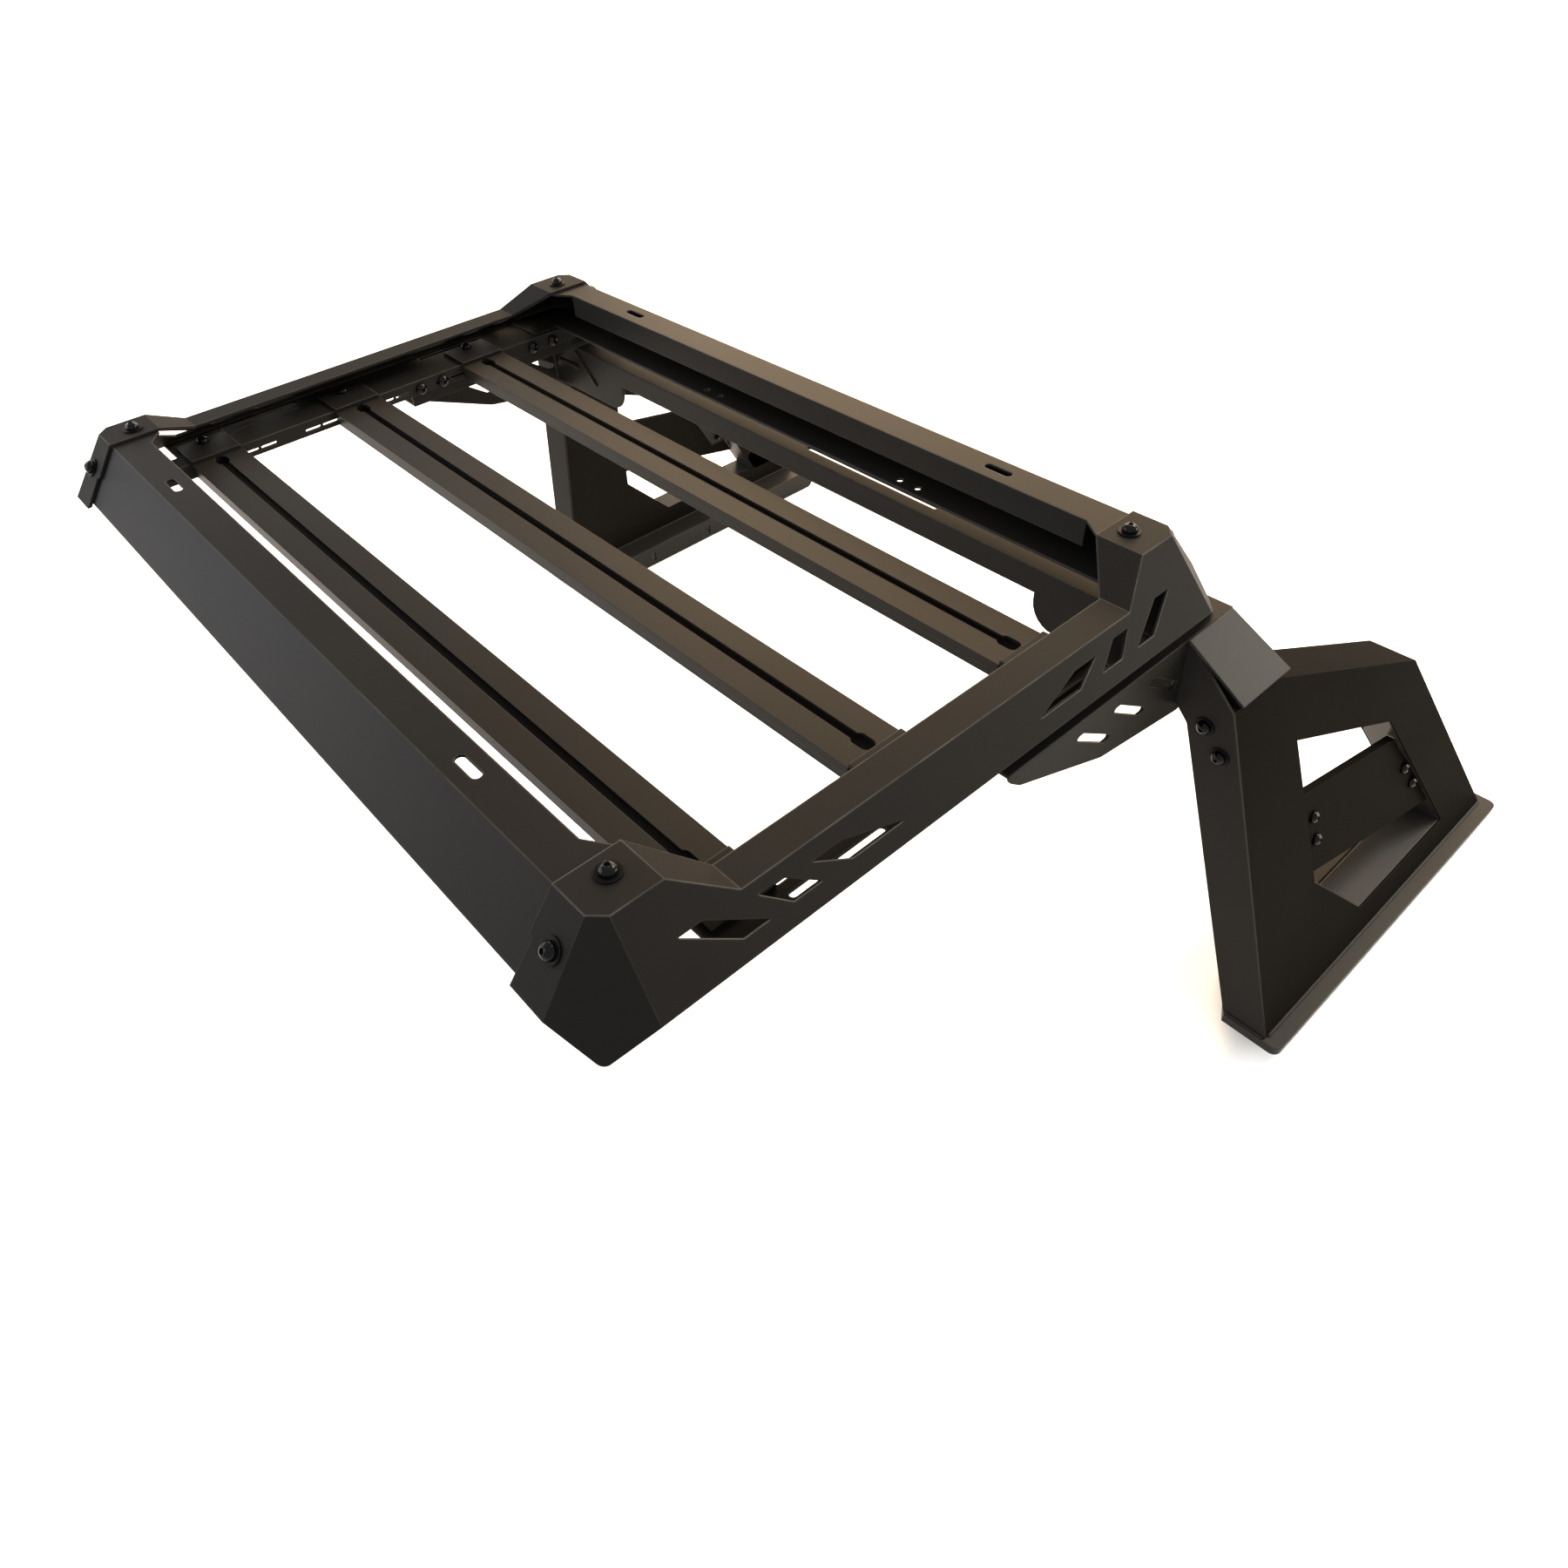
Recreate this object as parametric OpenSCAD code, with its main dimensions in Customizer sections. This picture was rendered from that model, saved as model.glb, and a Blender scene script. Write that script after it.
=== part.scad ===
// Over-cab ladder rack: a shallow sloped-wall tray with T-slot floor bars, carried by two
// leaning box-section legs that bolt to the bed rails of a pickup.
// Millimetres. +X is to the right of the vehicle, -Y is forward, +Z is up.

/* [Tray] */
// Width across the lower top folds of the two side panels
tray_w = 1200; // [1000:10:1500]
// Depth between the upper folds at the front and rear ends
tray_d = 748; // [680:2:900]
// Lean of the outer walls from the vertical, in degrees
wall_lean = 40; // [30:1:45]
// Height of the corner caps above the lower folds
corner_rise = 32; // [24:1:42]
// Depth of the side walls below the lower folds
wall_drop = 40; // [32:1:50]
// Sheet thickness of the side panels
side_t = 4; // [3:0.5:5]
// Sheet thickness of the front and rear panels
panel_t = 3; // [2:0.5:4]
// Width of the side panels' top flange between the ramps
side_flange_w = 36; // [30:1:50]
// Width of the front and rear panels' top flange
end_flange_w = 42; // [36:1:56]
// Depth of the front and rear panels below the lower folds
panel_drop = 34; // [24:1:35]
// Width of the front panel's bottom flange
front_foot_w = 80; // [60:1:90]
// Width of the rear panel's bottom flange
rear_foot_w = 101; // [60:1:106]
// Height of the lip turned down along a panel's inner edge
panel_lip = 32; // [20:1:38]

/* [Corners] */
// Width of a corner cap, across the vehicle
cap_w = 57; // [50:1:70]
// Length of a corner cap, along the vehicle
cap_len = 65; // [56:1:80]
// Length of the ramp between a corner cap and the lower fold
ramp_len = 51; // [40:1:70]
// Plan chamfer of a corner cap
corner_cut = 13.5; // [8:0.5:20]
// Lean of the corner facet from the vertical, in degrees
facet_lean = 34; // [28:1:40]
// Depth of the corner facet's tip below the lower folds
tip_drop = 69; // [52:1:76]
// Depth of the corner tabs below the lower folds
tab_drop = 38; // [30:1:42]
// How far a panel's end ear reaches in under the corner cap
ear_reach = 62; // [56:1:66]
// How far the ends of the front and rear panels lie under the corner caps
panel_lap = 32; // [24:1:36]
// Distance of a panel lip's end from the corner cap
lip_short = 27; // [20:1:40]
// Radius of the rounded sheet corners
sheet_r = 9; // [4:1:14]

/* [Side panel openings] */
// Heights of the upper edges of the three vents, outermost first
vent_top = [-2, -9, -12]; // [-20:1:0]
// Height of the vents' lower edges
vent_foot = -26; // [-30:1:-20]
// Distance of each vent's upper outer corner from the tray's middle
vent_y = [323, 247, 191]; // [150:1:340]
// Length of each vent's upper edge
vent_upper = [24, 25, 33]; // [15:1:50]
// Length of each vent's lower edge
vent_lower = [28, 31, 62]; // [15:1:80]
// How far each vent's outer side slants towards the middle
vent_slant = [47, 25, 36]; // [15:1:60]
// Height of the lip that hangs from the bottom flange
lip_h = 21; // [16:1:30]
// Distance of the lip inside the lower folds
lip_in = 62; // [50:1:80]
// Length and height of the slots in the lip
lip_slot = [24, 4]; // [3:0.5:30]
// Places of the lip slots from the middle of a bay
lip_slot_y = [-61, -34, 34, 61]; // [-70:1:70]

// Half length of the bottom flange beside the wall
foot_reach = 295; // [270:1:310]
// Width of the bottom flange that runs on past the wall's stretch, out from the lip
foot_strip = 32; // [24:1:40]
// Drain slots in the bottom flange: length, and place of the middle from the tray's middle
drain = [112, 160]; // [100:1:170]
// Places of the drain slots out from the lip, the inner one only at the front
drain_out = [71, 53]; // [46:1:76]
// Widths of the drain slots
drain_w = [8, 4]; // [3:0.5:10]

/* [Accessory slots] */
// Distance between the two slots of a panel
slot_pitch = 702; // [500:2:800]
// Length of a slot, end to end
slot_len = 38; // [24:1:50]
// Width of a slot
slot_w = 10.5; // [8:0.5:13]
// Distance of the slots from the flange's inner edge
slot_inset = 21; // [15:1:28]

/* [Floor bars] */
// Width of a floor bar
bar_w = 72; // [60:1:90]
// Height of a floor bar
bar_h = 20; // [18:1:26]
// Distance between neighbouring bars
bar_pitch = 214.5; // [180:0.5:240]
// Place of the middle bar from the tray's middle, forward is negative
bar_mid_y = -38; // [-60:1:0]
// Depth of the bars' top below the bottom flange's upper face
bar_sink = 1; // [0:0.5:6]
// Mouth of the T-slot
tee_mouth = 10; // [8:0.5:12]
// Width of the T-slot's chamber
tee_w = 21; // [18:0.5:26]
// Thickness of the bar's walls
bar_wall = 3; // [2.5:0.5:4]
// Depth of the T-slot below the bar's top
tee_depth = 12; // [10:0.5:15]
// Width and length of the entry at each end of the T-slot
tee_entry = [17, 27]; // [14:1:32]
// Distance of an entry's middle from the bar's end
tee_entry_inset = 16; // [15:1:60]
// Step in the bar's side wall
bar_step = 1; // [0.5:0.5:5]
// Thickness of the bent shoe at each bar end
shoe_t = 4; // [3:0.5:5]
// Reach of a shoe over the bottom flange
shoe_reach = 56; // [44:1:70]

/* [Rear beam] */
// Places of the rear panel's hole pairs across the vehicle
pair_x = [-156, 227]; // [-400:1:400]
// Distance between the two holes of a pair
pair_gap = 30; // [20:1:50]
// Diameter of the paired holes
pair_d = 9; // [6:0.5:11]
// Distance of the paired holes from the bottom flange's inner edge
pair_inset = 14; // [10:1:30]
// Distance of the beam's face in front of the tray's rear fold
beam_in = 21; // [18:1:34]
// Depth of the beam's top below the arm's top
beam_sink = 6; // [5:1:12]
// Height of the beam's face
beam_h = 32; // [26:1:44]
// Width of the beam's top flange
beam_flange_w = 36; // [24:1:44]
// Length and width of the slot in the beam's top flange
beam_slot = [242, 8]; // [6:1:300]
// Thickness of the beam
beam_t = 4; // [3:0.5:5]
// Half length of the beam between its ears
beam_reach = 421; // [330:1:480]
// Depth of the ears below the beam's face
ear_drop = 45; // [24:1:50]
// Radius of an ear's lower corner
ear_r = 35; // [16:1:36]

/* [Shoulder brackets] */
// Thickness of the bracket plates
bracket_t = 4; // [3:0.5:6]
// Depth of the arm's top below the lower folds
arm_drop = 70; // [66:1:84]
// Distance of the arm's outer face inside the side panel's foot
arm_set = 8; // [2:1:12]
// Front and rear ends of the arm, from the tray's middle
arm_span = [50, 436]; // [30:1:440]
// Depths of the arm's web below its top, at the nose, the knee and the leg
arm_web = [25, 84, 108]; // [20:1:120]
// Places of the nose's lower corner and of the knee
arm_knee = [70, 216]; // [60:1:260]
// Top corner radius of the arm's nose
nose_r = 12; // [6:1:16]
// First arm hole from the tray's middle
hole_y = 152; // [130:1:170]
// Distance between arm holes
hole_pitch = 62.5; // [55:0.5:70]
// Length, slant and height of an arm hole, and its depth below the arm's top
hole_form = [19, 62, 41, 21]; // [10:1:70]
// Front corners of the shoulder cap, at its top and at its foot
cap_front = [346, 374]; // [340:1:400]
// Width of the shoulder cap at its top and at its foot
cap_width = [84, 97]; // [70:1:120]
// Places of the two ribs under each shoulder cap
rib_y = [375, 425]; // [360:1:430]

/* [Legs] */
// Height of the lower top folds above the base plate's upper face
leg_rise = 650; // [560:10:760]
// Lean of the legs, outwards at the foot, in degrees
leg_lean = 17.5; // [10:0.5:20]
// Distance of the leg's outer face outside the lower folds, at the base plate
leg_out = 253; // [200:1:300]
// Thickness of a leg, across its faces
leg_w = 60; // [50:1:76]
// Sheet thickness of the legs
leg_t = 3; // [2:0.5:4]
// Height of the leg's top above the base
leg_h = 509; // [440:1:580]
// Front foot and front top of a leg, from the tray's middle
leg_front = [407, 362]; // [350:1:420]
// Length of the level stretch at the leg's top
leg_flat = 86; // [70:1:110]
// Rear upper corner of a leg: from the tray's middle, and above the base
leg_crown = [793, 367]; // [300:1:860]
// Rear foot of a leg, from the tray's middle
leg_rear = 1047; // [960:1:1120]
// Width of the leg's front column at the opening's top, and the opening's slant down to the chamfer
column = [129, 42]; // [20:1:150]
// Depth of the leg's top member
top_member = 84; // [70:1:100]
// Width of the rear strut, along the vehicle
strut_w = 104; // [80:1:120]
// Height of the sill above the base at the outer and inner faces
sill = [46, 51]; // [40:1:100]
// Height and run of the chamfer at the opening's lower front corner
chamfer = [128, 128]; // [90:1:150]
// Access window in the inner face: length, height and place from the rear foot
window = [84, 61, 132]; // [50:1:160]
// Radius of the window's corners
window_r = 14; // [8:1:20]

/* [Light plates] */
// Recess of the light plate behind the leg's outer face
light_set = 9; // [6:1:14]
// Thickness of the light plate
light_t = 3; // [2:0.5:4]
// Heights of the light plate's front upper corner and rear upper corner above the base
light_top = [310, 260]; // [240:1:340]
// Heights of its front lower corner and rear lower corner
light_foot = [180, 97]; // [80:1:190]
// Depth of the bent lip along its top
light_lip = 7; // [4:1:18]
// Width of the tabs that carry it
light_tab = 40; // [32:1:44]
// Distances of its bolts from the opening's front and rear walls
light_bolt_in = [27, 13]; // [10:1:30]
// Distance of its bolts from the plate's middle line
light_bolt_half = 19; // [14:1:26]
// Clearance round the light plate
light_gap = 1; // [0.5:0.5:3]

/* [Base plates] */
// Width of a base plate
base_w = 138; // [120:1:160]
// Overhang of the base plate outside the leg
base_out = 23; // [14:1:30]
// Overhang of the base plate before and behind the leg's feet
base_end = [9, 15]; // [6:1:24]
// Width and length of the cut at the base plate's inner front corner
base_cut = [56, 100]; // [20:1:110]
// Thickness of a base plate
base_t = 4; // [3:0.5:6]
// Height of the turned-down rim
base_rim = 14; // [10:1:20]
// Height of the inner flange
base_flange = 44; // [36:1:60]
// Corner radius of a base plate
base_r = 12; // [8:1:18]
// Width and height of the slots in the inner flange
rail_slot = [10, 22]; // [8:1:30]
// First rail slot from the base's front end, and distance between slots
rail_slot_y = [176, 159]; // [90:1:220]
// Number of rail slots in each base plate
rail_slots = 3; // [2:1:4]

/* [Fasteners] */
// Thread diameter of the bolts
bolt_d = 8; // [6:1:10]
// Clearance of the bolt holes
bolt_gap = 0.6; // [0.3:0.1:1]
// Diameter and height of a button head
head = [17, 8]; // [4:0.5:20]
// Diameter of the hexagon socket, across its corners
socket_d = 6; // [4:0.5:8]
// Depth of the hexagon socket
socket_deep = 2.5; // [1.5:0.5:3.5]
// Diameter and thickness of the large washers
washer = [24, 2]; // [1.5:0.5:28]
// Nut size across corners, and its height
nut = [15, 6.5]; // [5:0.5:18]
// Place of a cap bolt from the tray's end fold
cap_bolt_in = 38; // [30:1:44]
// Place of a cap bolt from the cap's outer fold
cap_bolt_side = 35; // [28:1:40]
// Height of the tab bolts above the lower folds
tab_bolt_z = 0; // [-8:1:8]
// Places of the arm bolts, from the tray's middle
arm_bolt_y = [66, 104, 270, 308]; // [56:1:330]
// Depth of the arm bolts below the bottom flange's upper face
arm_bolt_in = 13; // [11:1:15]
// Place of the shoe bolts, out from the lip
shoe_bolt_out = 44; // [34:1:48]
// Leg bolts: level distances in from the leg's outer face, and down from its top
leg_bolts = [[38, 34], [23, 66]]; // [15:1:80]
// Heights below the leg's top where the front plate's inner edge turns out to the arm
flare = [23, 43]; // [15:1:60]
// Base bolts: distances in from the leg's outer face, and forward from its rear foot
base_bolts = [[22, 86], [48, 60]]; // [15:1:100]

/* [Hidden] */
$fn = 40;
BIG = 3000;
finish = [0.13, 0.12, 0.115];
bar_finish = [0.17, 0.155, 0.14];
hardware = [0.06, 0.06, 0.065];
lean_run = tan(wall_lean);
end_y = tray_d / 2;
beam_y = end_y - beam_in;
fold_x = tray_w / 2;
lip_x = fold_x - lip_in;
leg_x = fold_x + leg_out;
cap_x = fold_x - corner_rise * lean_run;
cap_in = cap_x - cap_w;
ramp_hi = end_y - cap_len;
ramp_lo = ramp_hi - ramp_len;
flange_in = fold_x - side_flange_w;
foot_top = side_t - wall_drop;
panel_top = corner_rise - side_t;
panel_end = cap_in + panel_lap;
panel_fold = end_y - side_t / cos(wall_lean) + side_t * lean_run;
panel_in = panel_fold - end_flange_w;
ear_in = end_y - ear_reach;
bar_top = foot_top - bar_sink;
bar_end = lip_x - shoe_t - 0.5;
bar_y = [for (i = [-1, 0, 1]) bar_mid_y + i * bar_pitch];
foot_x = fold_x + wall_drop * lean_run;
arm_x = foot_x - arm_set;
arm_in = lip_x + side_t;
arm_top = -arm_drop;
beam_top = arm_top - beam_sink;
strut_run = (leg_rear - leg_crown[0]) / leg_crown[1];
lean_x = tan(leg_lean);
front_run = (leg_front[0] - leg_front[1]) / leg_h;
face_n = [0, -1, -front_run] / norm([0, -1, -front_run]);
top_fall = (leg_h - leg_crown[1]) / (leg_crown[0] - leg_front[1] - leg_flat);
rim_z = -leg_rise - base_t;
base_x = leg_x + base_out;
base_in = base_x - base_w;
base_front = leg_front[0] - base_end[0];
base_rear = leg_rear + base_end[1];
front_tip = end_y + (corner_rise + tab_drop) * lean_run;
origin_y = (base_rear - front_tip) / 2;
origin_z = leg_rise + base_flange;
hole_d = bolt_d + 2 * bolt_gap;
hole_reach = 2 * bolt_d;
head_dome = head[0] * 1.16;
cap_bolt = [cap_x - cap_bolt_side, end_y - cap_bolt_in];
tab_bolt_x = cap_x - cap_bolt_side + 7;
shoe_bolt_x = lip_x + shoe_bolt_out;

// Plane and point helpers
function unit(v) = v / norm(v);
function plane(n, p) = [n, n * p];
function level(z) = plane([0, 0, 1], [0, 0, z]);
function meet(a, b, c) =
    (a[1] * cross(b[0], c[0]) + b[1] * cross(c[0], a[0]) + c[1] * cross(a[0], b[0]))
    / (a[0] * cross(b[0], c[0]));
// Crossing of two lines, each given by a point and a direction
function crossing(p, u, q, v) =
    p + u * ((q[0] - p[0]) * v[1] - (q[1] - p[1]) * v[0]) / (u[0] * v[1] - u[1] * v[0]);
// Outline moved outwards by d, with mitred corners; the outline turns anticlockwise
function grown(pts, d) = let(n = len(pts)) [
    for (i = [0 : n - 1])
        let(
            p = pts[i],
            u = unit(p - pts[(i + n - 1) % n]),
            v = unit(pts[(i + 1) % n] - p),
            pu = p + d * [u[1], -u[0]],
            pv = p + d * [v[1], -v[0]]
        )
        crossing(pu, u, pv, v)
];
// Corner of an outline as an arc of radius r
function round_corner(a, p, b, r, steps = 6) =
    let(
        u = unit(a - p),
        v = unit(b - p),
        half = acos(u * v) / 2,
        mid = p + unit(u + v) * r / sin(half),
        start = p + u * r / tan(half) - mid,
        stop = p + v * r / tan(half) - mid,
        turn = (start[0] * stop[1] - start[1] * stop[0]) > 0 ? 1 : -1,
        sweep = turn * (180 - 2 * half)
    )
    [for (k = [0 : steps])
        let(t = sweep * k / steps)
        mid + [start[0] * cos(t) - start[1] * sin(t), start[0] * sin(t) + start[1] * cos(t)]];
// Outline with a radius at each corner, 0 for a sharp one
function rounded(pts, radii) = let(n = len(pts)) [
    for (i = [0 : n - 1])
        each radii[i] > 0
            ? round_corner(pts[(i + n - 1) % n], pts[i], pts[(i + 1) % n], radii[i])
            : [pts[i]]
];
// Flat coordinates of points that lie in the plane through o with axes u and v
function flat(pts, o, u, v) = [for (p = pts) [(p - o) * u, (p - o) * v]];

// Sheet facet: a flat outline of points with outward normal n and thickness t behind it
module facet(pts, n, t, radii = []) {
    o = pts[0];
    u = unit(pts[1] - pts[0]);
    v = cross(n, u);
    outline = flat(pts, o, u, v);
    multmatrix([
        [u[0], v[0], n[0], o[0]],
        [u[1], v[1], n[1], o[1]],
        [u[2], v[2], n[2], o[2]],
        [0, 0, 0, 1]
    ])
        translate([0, 0, -t])
            linear_extrude(t)
                polygon(len(radii) == 0 ? outline : rounded(outline, radii));
}
// Profile in the Y-Z plane drawn out along X
module along_x(x0, x1) {
    translate([x0, 0, 0])
        rotate([90, 0, 90])
            linear_extrude(x1 - x0)
                children();
}
// Profile in the X-Z plane drawn out along Y
module along_y(y0, y1) {
    translate([0, y1, 0])
        rotate([90, 0, 0])
            linear_extrude(y1 - y0)
                children();
}
// Box between two corners
module box(a, b) {
    translate(a)
        cube(b - a);
}
module slot2d(length, width) {
    square([length - width, width], center = true);
    for (s = [-1, 1])
        translate([s * (length - width) / 2, 0])
            circle(d = width);
}
module both_ends() {
    children();
    mirror([0, 1, 0])
        children();
}
module both_sides() {
    children();
    mirror([1, 0, 0])
        children();
}
// Rack in its own frame, with the origin midway along it and level with its lowest edge
module placed() {
    translate([0, -origin_y, origin_z])
        children();
}

// Side panel
side_n = [cos(wall_lean), 0, sin(wall_lean)];
end_n = [0, cos(wall_lean), sin(wall_lean)];
facet_n = [cos(facet_lean) * sqrt(0.5), cos(facet_lean) * sqrt(0.5), sin(facet_lean)];
side_plane = plane(side_n, [cap_x, 0, corner_rise]);
end_plane = plane(end_n, [0, end_y, corner_rise]);
facet_plane = plane(facet_n, [cap_x - corner_cut, end_y, corner_rise]);
facet_foot_side = meet(side_plane, facet_plane, level(-wall_drop));
facet_foot_end = meet(end_plane, facet_plane, level(-tab_drop));
facet_mid = plane([1, -1, 0], (facet_foot_side + facet_foot_end) / 2);
facet_tip = meet(facet_plane, facet_mid, level(-tip_drop));
function on_side(y, z) = [fold_x - z * lean_run, y, z];
function on_end(x, z) = [x, end_y + (corner_rise - z) * lean_run, z];
function vent(i) =
    let(y = vent_y[i], top = vent_top[i], foot_y = y - vent_slant[i])
    [on_side(y, top), on_side(y - vent_upper[i], top),
     on_side(foot_y - vent_lower[i], vent_foot), on_side(foot_y, vent_foot)];

// Everything behind the plane with normal n at distance d from the middle of the tray
module behind(n, d) {
    u = unit(cross(n, [0.3, 0.2, 1]));
    v = cross(n, u);
    multmatrix([
        [u[0], v[0], n[0], n[0] * d],
        [u[1], v[1], n[1], n[1] * d],
        [u[2], v[2], n[2], n[2] * d],
        [0, 0, 0, 1]
    ])
        translate([-BIG / 2, -BIG / 2, -BIG])
            cube(BIG);
}
// Solid under the folded top, behind the wall, the tabs and the corner facets, set in by d
module side_solid(d) {
    bend = atan(corner_rise / ramp_len);
    k = d * tan(bend / 2);
    rise = corner_rise - d;
    intersection() {
        along_x(cap_in - 40, foot_x + 40)
            polygon([
                [-end_y - 90, -BIG / 20], [end_y + 90, -BIG / 20], [end_y + 90, rise],
                [ramp_hi + k, rise], [ramp_lo + k, -d], [-ramp_lo - k, -d],
                [-ramp_hi - k, rise], [-end_y - 90, rise]
            ]);
        behind(side_n, side_plane[1] - d);
        behind(end_n, end_plane[1] - d);
        behind([0, -end_n[1], end_n[2]], end_plane[1] - d);
        behind(facet_n, facet_plane[1] - d);
        behind([facet_n[0], -facet_n[1], facet_n[2]], facet_plane[1] - d);
    }
}
// What is kept of the bent sheet: the flange's plan, the walls and the facets' tips
module side_keep() {
    low = -wall_drop;
    translate([0, 0, -side_t])
        linear_extrude(BIG / 10)
            both_ends()
                polygon([
                    [flange_in, -1], [BIG, -1], [BIG, BIG], [cap_in, BIG], [cap_in, ramp_hi],
                    [flange_in, ramp_lo]
                ]);
    box([cap_in + 5, -BIG, -tab_drop], [BIG, BIG, -side_t]);
    box([cap_in + 5, -facet_foot_side[1] - 2, low], [BIG, facet_foot_side[1] + 2, -side_t]);
    both_ends()
        tip_keep();
}
module tip_keep() {
    up = cross([-sqrt(0.5), sqrt(0.5), 0], facet_n) * -24;
    lift = facet_n * 12;
    facet(
        [facet_foot_end + up + lift, facet_foot_end + lift, facet_tip + lift,
         facet_foot_side + lift, facet_foot_side + up + lift],
        facet_n, 24, [0, 0, sheet_r, 0, 0]
    );
}
module side_sheet() {
    difference() {
        intersection() {
            difference() {
                side_solid(0);
                side_solid(side_t);
            }
            side_keep();
        }
        for (i = [0 : 2])
            both_ends()
                facet([for (p = vent(i)) p + side_n * 10], side_n, 20);
    }
}
module side_foot() {
    y = facet_foot_side[1] - 12;
    x = fold_x - foot_top * lean_run - 1;
    difference() {
        union() {
            box([lip_x, -y, -wall_drop], [lip_x + foot_strip, y, foot_top]);
            box([lip_x, -foot_reach, -wall_drop], [x, foot_reach, foot_top]);
        }
        both_ends()
            drain_slot(0);
        drain_slot(1);
    }
    difference() {
        box([lip_x, -y, foot_top - lip_h], [lip_x + side_t, y, foot_top]);
        for (bay = [-0.5, 0.5], s = lip_slot_y)
            translate([lip_x + side_t / 2, bar_mid_y + bay * bar_pitch + s, foot_top - lip_h * 0.62])
                rotate([90, 0, 90])
                    translate([0, 0, -side_t])
                        linear_extrude(2 * side_t)
                            slot2d(lip_slot[0], lip_slot[1]);
    }
}
module drain_slot(i) {
    translate([lip_x + drain_out[i], -drain[1], -wall_drop - 1])
        linear_extrude(side_t + 2)
            rotate(90)
                slot2d(drain[0], drain_w[i]);
}
module side_panel() {
    color(finish)
        difference() {
            union() {
                side_sheet();
                side_foot();
            }
            both_ends() at_cap_bolt() bolt_hole();
            both_ends() at_tab_bolt() bolt_hole();
            at_arm_bolts() bolt_hole();
            at_shoe_bolts(bar_y) bolt_hole();
        }
}
module side_panel_right() {
    placed() side_panel();
}
module side_panel_left() {
    placed() mirror([1, 0, 0]) side_panel();
}

// Front and rear panels: top flange with end ears, sloped face, bottom flange and inner lip
module end_panel(foot_w, pairs) {
    foot_y = panel_fold + (panel_top + panel_drop) * lean_run;
    foot_in = foot_y - foot_w;
    w = panel_t / cos(wall_lean);
    lip_end = cap_in - lip_short;
    color(finish)
        difference() {
            union() {
                along_x(-panel_end, panel_end)
                    polygon([
                        [panel_in, panel_top], [panel_fold, panel_top],
                        [foot_y, -panel_drop], [foot_in, -panel_drop],
                        [foot_in, panel_t - panel_drop],
                        [foot_y - w - panel_t * lean_run, panel_t - panel_drop],
                        [panel_fold - w + panel_t * lean_run, panel_top - panel_t],
                        [panel_in, panel_top - panel_t]
                    ]);
                box([-lip_end, panel_in, panel_top - panel_lip],
                    [lip_end, panel_in + panel_t, panel_top]);
                both_sides()
                    translate([0, 0, panel_top - panel_t])
                        linear_extrude(panel_t)
                            polygon([
                                [lip_end, panel_in + 1], [lip_end, panel_in], [cap_in, ear_in],
                                [panel_end, ear_in], [panel_end, panel_in + 1]
                            ]);
            }
            for (s = [-1, 1])
                translate([s * slot_pitch / 2, panel_in + slot_inset, 0])
                    linear_extrude(BIG)
                        slot2d(slot_len, slot_w);
            for (x = pairs, s = [-1, 1])
                translate([x + s * pair_gap / 2, foot_in + pair_inset, -panel_drop - 1])
                    cylinder(d = pair_d, h = panel_t + 2);
            both_sides() at_cap_bolt() bolt_hole();
            both_sides() at_tab_bolt() bolt_hole();
        }
}
module front_panel() {
    placed() mirror([0, 1, 0]) end_panel(front_foot_w, []);
}
module rear_panel() {
    placed() end_panel(rear_foot_w, pair_x);
}

// Floor bars: hollow extrusions with a T-slot, and a bent shoe at each end
module bar_section() {
    half = bar_w / 2;
    low = bar_top - bar_h;
    room = half - tee_w / 2 - 3 * bar_wall;
    difference() {
        polygon([
            [-half, bar_top], [half, bar_top], [half, bar_top - bar_h * 0.55],
            [half - bar_step, bar_top - bar_h * 0.55], [half - bar_step, low],
            [bar_step - half, low], [bar_step - half, bar_top - bar_h * 0.55],
            [-half, bar_top - bar_h * 0.55]
        ]);
        translate([-tee_mouth / 2, bar_top - tee_depth])
            square([tee_mouth, tee_depth + 1]);
        translate([-tee_w / 2, bar_top - tee_depth])
            square([tee_w, tee_depth - bar_wall]);
        for (s = [-1, 1])
            translate([s * (tee_w / 2 + bar_wall + room / 2), (bar_top + low) / 2])
                square([room, bar_h - 2 * bar_wall], center = true);
    }
}
module floor_bar(i) {
    color(bar_finish) placed()
        translate([0, bar_y[i], 0])
            difference() {
                along_x(-bar_end, bar_end)
                    bar_section();
                for (s = [-1, 1])
                    translate([s * (bar_end - tee_entry_inset), 0, bar_top - bar_wall - 1])
                        linear_extrude(bar_wall + 2)
                            slot2d(tee_entry[1], tee_entry[0]);
            }
}
module floor_bar_front() {
    floor_bar(0);
}
module floor_bar_middle() {
    floor_bar(1);
}
module floor_bar_rear() {
    floor_bar(2);
}
module bar_shoes(i) {
    half = bar_w / 2 - bar_step;
    color(finish) placed() both_sides()
        difference() {
            translate([0, bar_y[i], 0]) {
                box([bar_end, -half, bar_top - bar_h], [bar_end + shoe_t, half, foot_top]);
                box([bar_end, -half, foot_top], [lip_x + shoe_reach, half, foot_top + shoe_t]);
            }
            at_shoe_bolts([bar_y[i]]) bolt_hole();
        }
}
module bar_shoes_front() {
    bar_shoes(0);
}
module bar_shoes_middle() {
    bar_shoes(1);
}
module bar_shoes_rear() {
    bar_shoes(2);
}

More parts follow.
